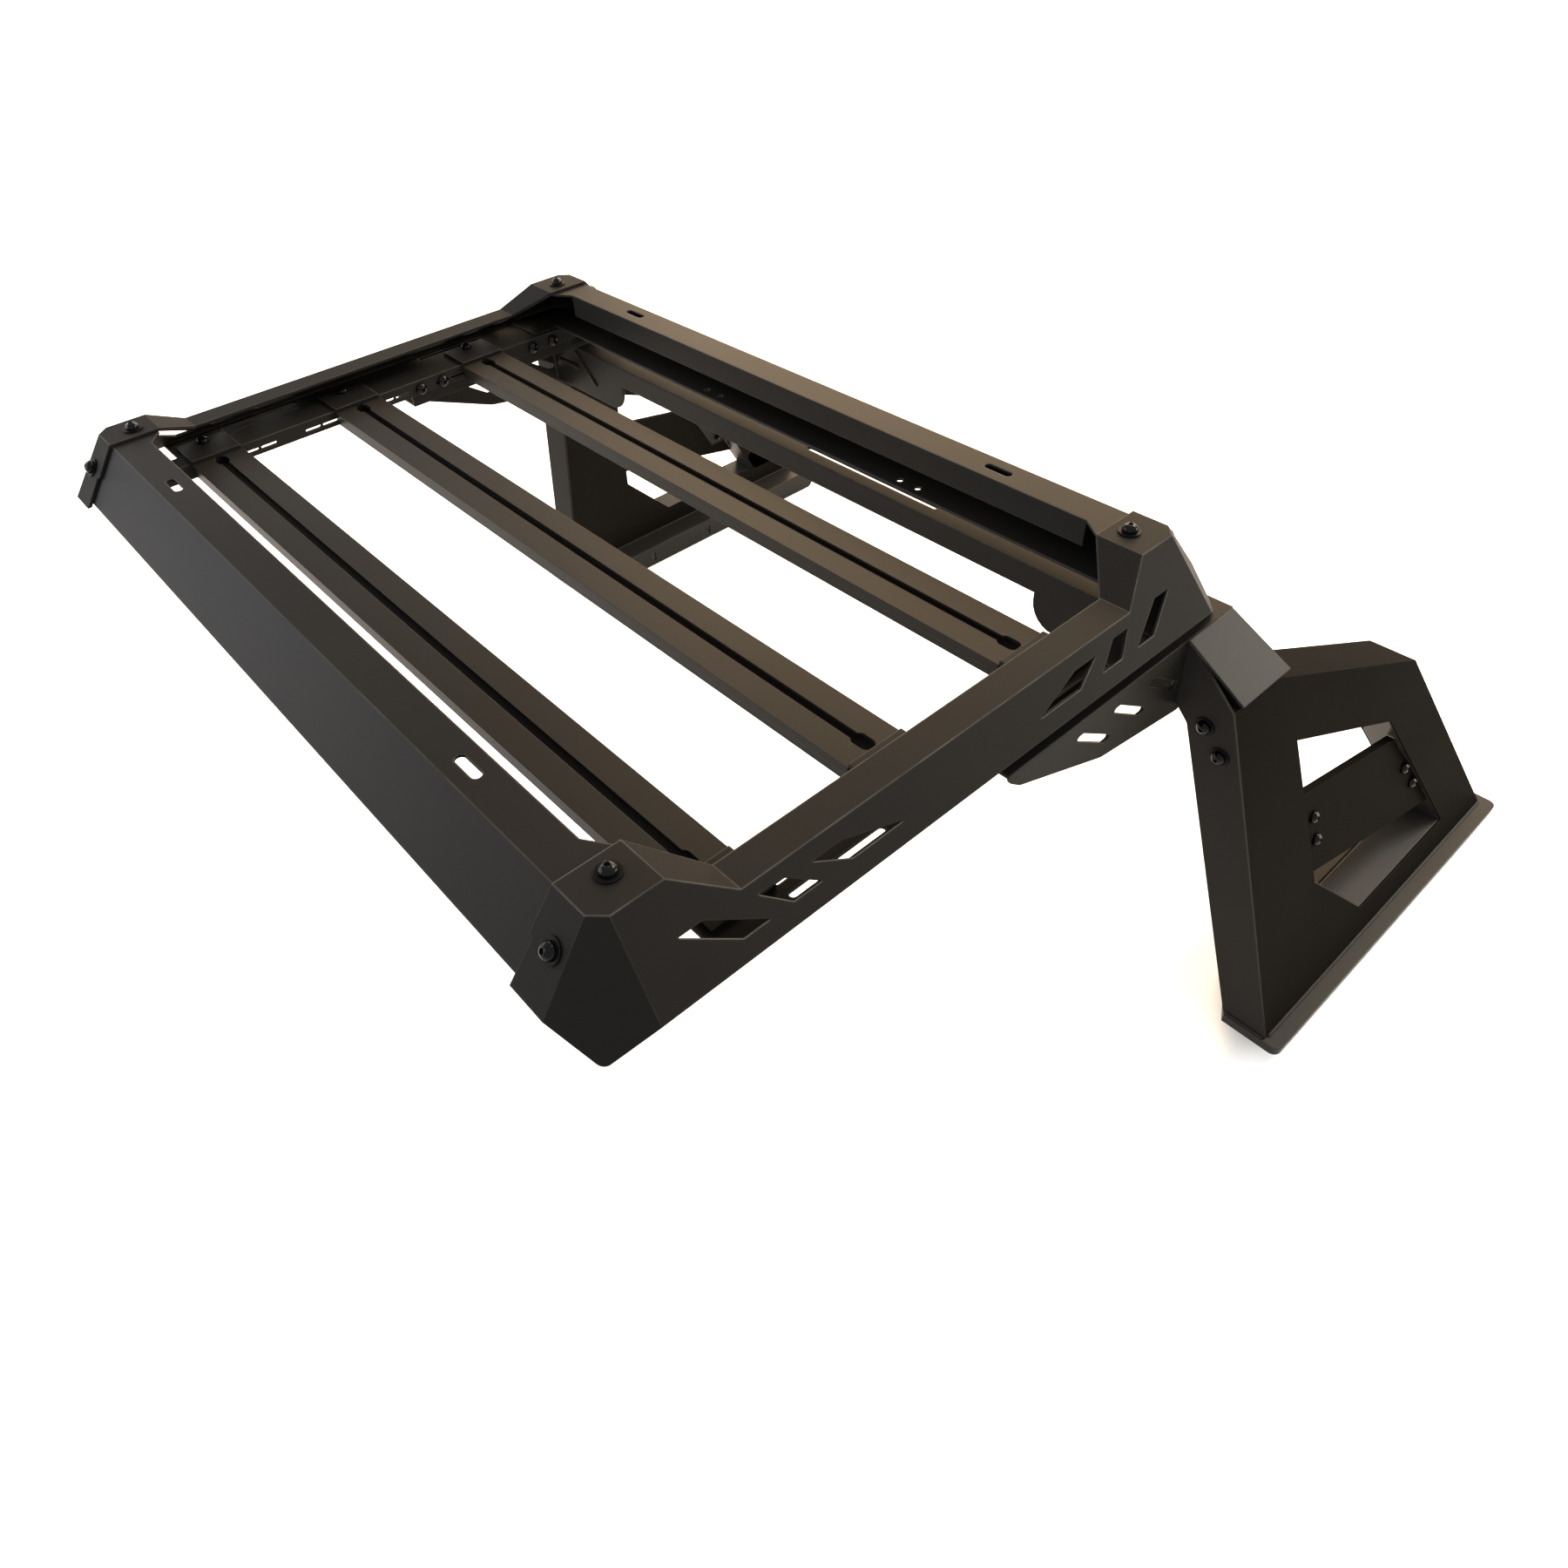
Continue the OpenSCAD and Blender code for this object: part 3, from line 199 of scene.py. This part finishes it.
# Darker-toned copy of the black coat: painted shade on the legs and light plates
legShadeLook = dict(tone=(0.0050, 0.0044, 0.0036), drift=(0.0070, 0.0061, 0.0050), grainSize=850.0,
               glossLow=0.42, glossHigh=0.54, bump=0.2, bumpDepth=0.0004, ior=1.02,
               fold=0.0008, paintedGlint=(0.05, 0.047, 0.042), foldGlint=0.6)
# Lighter-toned copy of the black coat: painted light on the leg's face plate
faceLitLook = dict(tone=(0.0118, 0.0110, 0.0102), drift=(0.0142, 0.0133, 0.0123), grainSize=850.0,
                glossLow=0.42, glossHigh=0.54, bump=0.2, bumpDepth=0.0004, ior=1.06,
                fold=0.0005, paintedGlint=(0.02, 0.019, 0.017), foldGlint=0.3)
# Lighter-toned copy of the black coat: painted light, so the liner sill, base plate, shoulder cap
# and weld beads look lit
footLitLook = dict(tone=(0.0120, 0.0112, 0.0100), drift=(0.0150, 0.0140, 0.0124), grainSize=850.0,
                glossLow=0.34, glossHigh=0.46, bump=0.2, bumpDepth=0.0004, ior=1.16,
                fold=0.0024, paintedGlint=(0.09, 0.086, 0.078), foldGlint=0.6)
barLook = dict(tone=(0.0078, 0.0068, 0.0056), drift=(0.0100, 0.0088, 0.0074), grainSize=1000.0,
               glossLow=0.36, glossHigh=0.48, bump=0.16, bumpDepth=0.0003, ior=1.14,
               fold=0.0010, paintedGlint=(0.05, 0.046, 0.040), foldGlint=0.5)
boltLook = dict(tone=(0.0015, 0.0015, 0.0016), drift=(0.0025, 0.0025, 0.0026), grainSize=1500.0,
                glossLow=0.04, glossHigh=0.08, bump=0.01, bumpDepth=0.0001, ior=1.20,
                fold=0.0006, paintedGlint=(0.02, 0.02, 0.02), foldGlint=0.4)
washerLook = dict(tone=(0.0030, 0.0029, 0.0028), drift=(0.0045, 0.0043, 0.0041),
                  grainSize=1500.0, glossLow=0.24, glossHigh=0.34, bump=0.05, bumpDepth=0.0002,
                  ior=1.10, fold=0.0007, paintedGlint=(0.03, 0.03, 0.03), foldGlint=0.5)

sheetCoat = coatMaterial("sheetCoat", sheetLook)
sideCoat = coatMaterial("sideCoat", sideLook)
legShadeCoat = coatMaterial("legShadeCoat", legShadeLook)
faceLitCoat = coatMaterial("faceLitCoat", faceLitLook)
footLitCoat = coatMaterial("footLitCoat", footLitLook)
barCoat = coatMaterial("barCoat", barLook)
boltCoat = coatMaterial("boltCoat", boltLook)
washerCoat = coatMaterial("washerCoat", washerLook)
# the weld beads take the same lighter-toned copy: painted light
beadCoat = coatMaterial("beadCoat", footLitLook)
print("coats mixed")


def coatOf(name):
    if name.startswith("floor_bar"):
        return barCoat
    if "washers" in name:
        return washerCoat
    if "bolts" in name or "nuts" in name:
        return boltCoat
    if name.startswith("side_panel"):
        return sideCoat
    # painted shade: leg shells, inner legs and light plates get the darker-toned copy
    if name.startswith(("leg_shell", "leg_inner", "light_plate")):
        return legShadeCoat
    # painted light: the leg's face plate gets the lighter-toned copy
    if name.startswith("leg_face"):
        return faceLitCoat
    # painted light: liner, base plate and shoulder cap get the lighter-toned copy of the coat
    if name.startswith(("leg_liner", "base_plate", "shoulder_cap")):
        return footLitCoat
    return sheetCoat


shadeLook = dict(weldGap=0.00002, faceWeight=80)


def smoothCurves(piece):  # round holes and bends shade smoothly, folds stay crisp
    weld = piece.modifiers.new("weld", "WELD")
    weld.merge_threshold = shadeLook["weldGap"]
    settle = piece.modifiers.new("settle", "WEIGHTED_NORMAL")
    settle.keep_sharp = True
    settle.weight = shadeLook["faceWeight"]


for name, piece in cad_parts.items():
    piece.data.materials.clear()
    piece.data.materials.append(coatOf(name))
    smoothCurves(piece)
print("coats laid on")

frameShift = Vector((0, -0.31463151, 0.694))  # from the tray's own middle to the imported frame
bothSides = (("Right", 1), ("Left", -1))  # the runs below are the right side's


def skinRings(mesh, rings):  # closed skin over a row of equal rings
    size = len(rings[0])
    for a, b in zip(rings, rings[1:]):
        for k in range(size):
            n = (k + 1) % size
            mesh.faces.new((a[k], a[n], b[n], b[k]))
    mesh.faces.new(rings[0])
    mesh.faces.new(list(reversed(rings[-1])))


def finishPiece(name, mesh, coat, smooth):
    bmesh.ops.recalc_face_normals(mesh, faces=mesh.faces)
    data = bpy.data.meshes.new(name)
    mesh.to_mesh(data)
    mesh.free()
    for face in data.polygons:
        face.use_smooth = smooth
    data.materials.append(coat)
    piece = bpy.data.objects.new(name, data)
    bpy.context.scene.collection.objects.link(piece)
    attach(piece, "root")


beadLook = dict(width=0.0032, step=0.0011, ripple=0.00075, pitch=0.0042, lag=0.45, arc=7,
                leastSteps=6, taperSteps=3, endShare=0.4)


def weldBead(mesh, start, stop, alongA, alongB):  # one rippled run in the corner of two faces
    start, stop = Vector(start) + frameShift, Vector(stop) + frameShift
    alongA, alongB = Vector(alongA).normalized(), Vector(alongB).normalized()
    run = stop - start
    heading = run.normalized()
    pitch, arc = beadLook["pitch"], beadLook["arc"]
    taper, endShare = beadLook["taperSteps"], beadLook["endShare"]
    count = max(beadLook["leastSteps"], round(run.length / beadLook["step"]))
    rings = []
    for i in range(count + 1):
        gone = run.length * i / count
        root = start + heading * gone
        ends = min(1.0, (i + endShare) / taper, (count - i + endShare) / taper)
        ring = []
        for k in range(arc):
            turn = math.pi / 2 * k / (arc - 1)
            crown = math.sin(turn * 2)
            phase = (gone + crown * pitch * beadLook["lag"]) / pitch * 2 * math.pi  # crown trails
            ripple = beadLook["ripple"] * abs(math.sin(phase / 2)) * crown
            reach = (beadLook["width"] + ripple) * ends
            spot = root + alongA * (math.cos(turn) * reach) + alongB * (math.sin(turn) * reach)
            ring.append(mesh.verts.new(spot))
        ring.append(mesh.verts.new(root))
        rings.append(ring)
    skinRings(mesh, rings)


def beadPiece(name, runs, side):
    mesh = bmesh.new()
    for run in runs:
        weldBead(mesh, *[Vector((v[0] * side, v[1], v[2])) for v in run])
    finishPiece(name, mesh, beadCoat, True)


legUp = (-0.300706, 0, 0.953717)  # up along the leaning leg
frontUp = (0, -0.088071, 0.996114)  # up along the leg's front
rearUp = (0, -0.569062, 0.822295)  # up along the rear strut's back
footRuns = [  # along the leg's inner, outer, front and rear feet, on the base plate
    ((0.79009, 0.408, -0.650), (0.79009, 1.046, -0.650), (-1, 0, 0), legUp),
    ((0.853, 0.408, -0.650), (0.853, 1.046, -0.650), (1, 0, 0), legUp),
    ((0.792, 0.40298, -0.650), (0.851, 0.40298, -0.650), (0, -1, 0), frontUp),
    ((0.792, 1.047, -0.650), (0.851, 1.047, -0.650), (0, 1, 0), rearUp)]
ribRuns = [  # at the feet of the ribs under the shoulder cap
    ((0.628, 0.379, -0.141), (0.688, 0.379, -0.141), (0, 1, 0), (0, 0, 1)),
    ((0.628, 0.425, -0.141), (0.688, 0.425, -0.141), (0, -1, 0), (0, 0, 1)),
    ((0.628, 0.429, -0.141), (0.688, 0.429, -0.141), (0, 1, 0), (0, 0, 1))]
earRuns = [  # between the rear beam's ears and the arm's web
    ((0.62156, 0.353, -0.076), (0.62156, 0.353, -0.151), (-1, 0, 0), (0, -1, 0)),
    ((0.62156, 0.357, -0.076), (0.62156, 0.357, -0.151), (-1, 0, 0), (0, 1, 0))]

for sideName, side in bothSides:
    beadPiece("legFootBead" + sideName, footRuns, side)
    beadPiece("ribBead" + sideName, ribRuns, side)
    beadPiece("earBead" + sideName, earRuns, side)
print("weld beads run")

pressLook = dict(width=0.0090, height=0.0030, stations=24, arc=9, leastSwell=0.02, face=0.353)
pressRuns = [  # level and diagonal ribs pressed into the front of the beam's ear
    ((0.604, -0.113), (0.545, -0.111)),
    ((0.549, -0.082), (0.496, -0.130))]


def pressedRib(mesh, start, stop):  # half-round swage with rounded ends
    start = Vector((start[0], pressLook["face"], start[1])) + frameShift
    stop = Vector((stop[0], pressLook["face"], stop[1])) + frameShift
    run = stop - start
    proud = Vector((0, -1, 0))
    across = run.normalized().cross(proud)
    half, arc, count = pressLook["width"] / 2, pressLook["arc"], pressLook["stations"]
    rings = []
    for i in range(count + 1):
        share = 0.5 - 0.5 * math.cos(math.pi * i / count)  # closer rings at the ends
        toEnd = min(share, 1 - share) * run.length
        swell = math.sqrt(max(pressLook["leastSwell"], 1 - max(0, 1 - toEnd / half) ** 2))
        spot = start + run * share
        ring = []
        for k in range(arc):
            turn = math.pi * k / (arc - 1)
            aside = across * (math.cos(turn) * half * swell)
            rise = proud * (math.sin(turn) * pressLook["height"] * swell)
            ring.append(mesh.verts.new(spot + aside + rise))
        rings.append(ring)
    skinRings(mesh, rings)


def ribPiece(name, runs, side):
    mesh = bmesh.new()
    for start, stop in runs:
        pressedRib(mesh, (start[0] * side, start[1]), (stop[0] * side, stop[1]))
    finishPiece(name, mesh, sheetCoat, True)


gussetLook = dict(low=-0.036, thick=0.002, edge=0.0004, edgeSteps=2, outline=[
    (0.546, 0.282), (0.6230, 0.282), (0.6230, 0.3650), (0.5910, 0.3970), (0.546, 0.397)])


def cornerGusset(name, side):  # closes the tray's rear corner, between the two bottom flanges
    mesh = bmesh.new()
    low = [mesh.verts.new(Vector((x * side, y, gussetLook["low"])) + frameShift)
           for x, y in gussetLook["outline"]]
    lift = Vector((0, 0, gussetLook["thick"]))
    high = [mesh.verts.new(v.co + lift) for v in low]
    skinRings(mesh, [low, high])
    bmesh.ops.recalc_face_normals(mesh, faces=mesh.faces)
    bmesh.ops.bevel(mesh, geom=list(mesh.edges), offset=gussetLook["edge"],
                    segments=gussetLook["edgeSteps"], profile=0.5, affect="EDGES")
    finishPiece(name, mesh, sheetCoat, False)


for sideName, side in bothSides:
    ribPiece("earRibs" + sideName, pressRuns, side)
    cornerGusset("cornerGusset" + sideName, side)
print("ear ribs and corner gussets set")

floorLook = dict(size=60.0, tone=(0.86, 0.86, 0.86), roughness=1.0)


def buildFloor():
    mesh = bpy.data.meshes.new("studioFloor")
    half = floorLook["size"] / 2
    mesh.from_pydata([(-half, -half, 0), (half, -half, 0), (half, half, 0), (-half, half, 0)],
                     [], [(0, 1, 2, 3)])
    floor = bpy.data.objects.new("studioFloor", mesh)
    bpy.context.scene.collection.objects.link(floor)
    material = bpy.data.materials.new("studioFloor")
    material.use_nodes = True
    skin = material.node_tree.nodes["Principled BSDF"]
    setInputs(skin, {"Base Color": (*floorLook["tone"], 1), "Roughness": floorLook["roughness"]})
    mesh.materials.append(material)


airLook = dict(tone=(1, 1, 1), strength=1.2)
softboxes = [  # each stands where one set of faces mirrors it
    dict(name="warmWall", place=(-2.0, 3.9, 3.3), aim=(0, 0, 0.6), size=(6.2, 3.6),
         watts=660, tone=(1.0, 0.69, 0.38)),
    dict(name="rearRight", place=(3.3, 3.4, 1.7), aim=(0.6, 0.1, 0.6), size=(2.4, 1.6),
         watts=170, tone=(1.0, 0.93, 0.78)),
    dict(name="foldLight", place=(1.3, 3.4, 4.1), aim=(0.3, 0, 0.6), size=(1.5, 1.5),
         watts=220, tone=(1.0, 0.94, 0.84)),
    dict(name="leftLight", place=(-4.2, -1.5, 2.8), aim=(0, -0.4, 0.7), size=(1.4, 1.4),
         watts=45, tone=(1.0, 0.98, 0.96)),
    dict(name="frontLeft", place=(-2.8, -3.9, 2.2), aim=(0, 0, 0.6), size=(4.0, 3.0),
         watts=170, tone=(0.96, 0.96, 1.0))]


def hangSoftbox(look):
    light = bpy.data.lights.new(look["name"], "AREA")
    light.shape = "RECTANGLE"
    light.size, light.size_y = look["size"]
    light.energy = look["watts"]
    light.color = look["tone"]
    lamp = bpy.data.objects.new(look["name"], light)
    lamp.location = look["place"]
    facing = Vector(look["aim"]) - Vector(look["place"])
    lamp.rotation_euler = facing.to_track_quat("-Z", "Y").to_euler()
    bpy.context.scene.collection.objects.link(lamp)


def buildLight():
    world = bpy.data.worlds.new("studioAir")
    world.use_nodes = True
    air = world.node_tree.nodes["Background"]
    setInputs(air, {"Color": (*airLook["tone"], 1), "Strength": airLook["strength"]})
    bpy.context.scene.world = world
    for look in softboxes:
        hangSoftbox(look)
    bpy.context.scene.view_settings.view_transform = "Standard"


cameraLook = dict(  # solved from the photograph
    sensor=36.0, lens=24.788, shift=(0.00856, -0.001), clipEnd=200,
    place=(1.046184, -0.897469, 1.347395), right=(0.666434, 0.743904, -0.049725),
    down=(0.497285, -0.493207, -0.713761), ahead=(-0.555494, 0.450947, -0.698622))


def buildCamera():
    camera = bpy.data.cameras.new("photoCamera")
    camera.sensor_width = cameraLook["sensor"]
    camera.lens = cameraLook["lens"]
    camera.shift_x, camera.shift_y = cameraLook["shift"]
    camera.clip_end = cameraLook["clipEnd"]
    seat = bpy.data.objects.new("photoCamera", camera)
    right, down, ahead = (Vector(cameraLook[way]) for way in ("right", "down", "ahead"))
    turn = Matrix((right, -down, -ahead)).transposed()
    seat.matrix_world = Matrix.Translation(cameraLook["place"]) @ turn.to_4x4()
    bpy.context.scene.collection.objects.link(seat)
    bpy.context.scene.camera = seat


buildFloor()
buildLight()
buildCamera()
print("studio set")
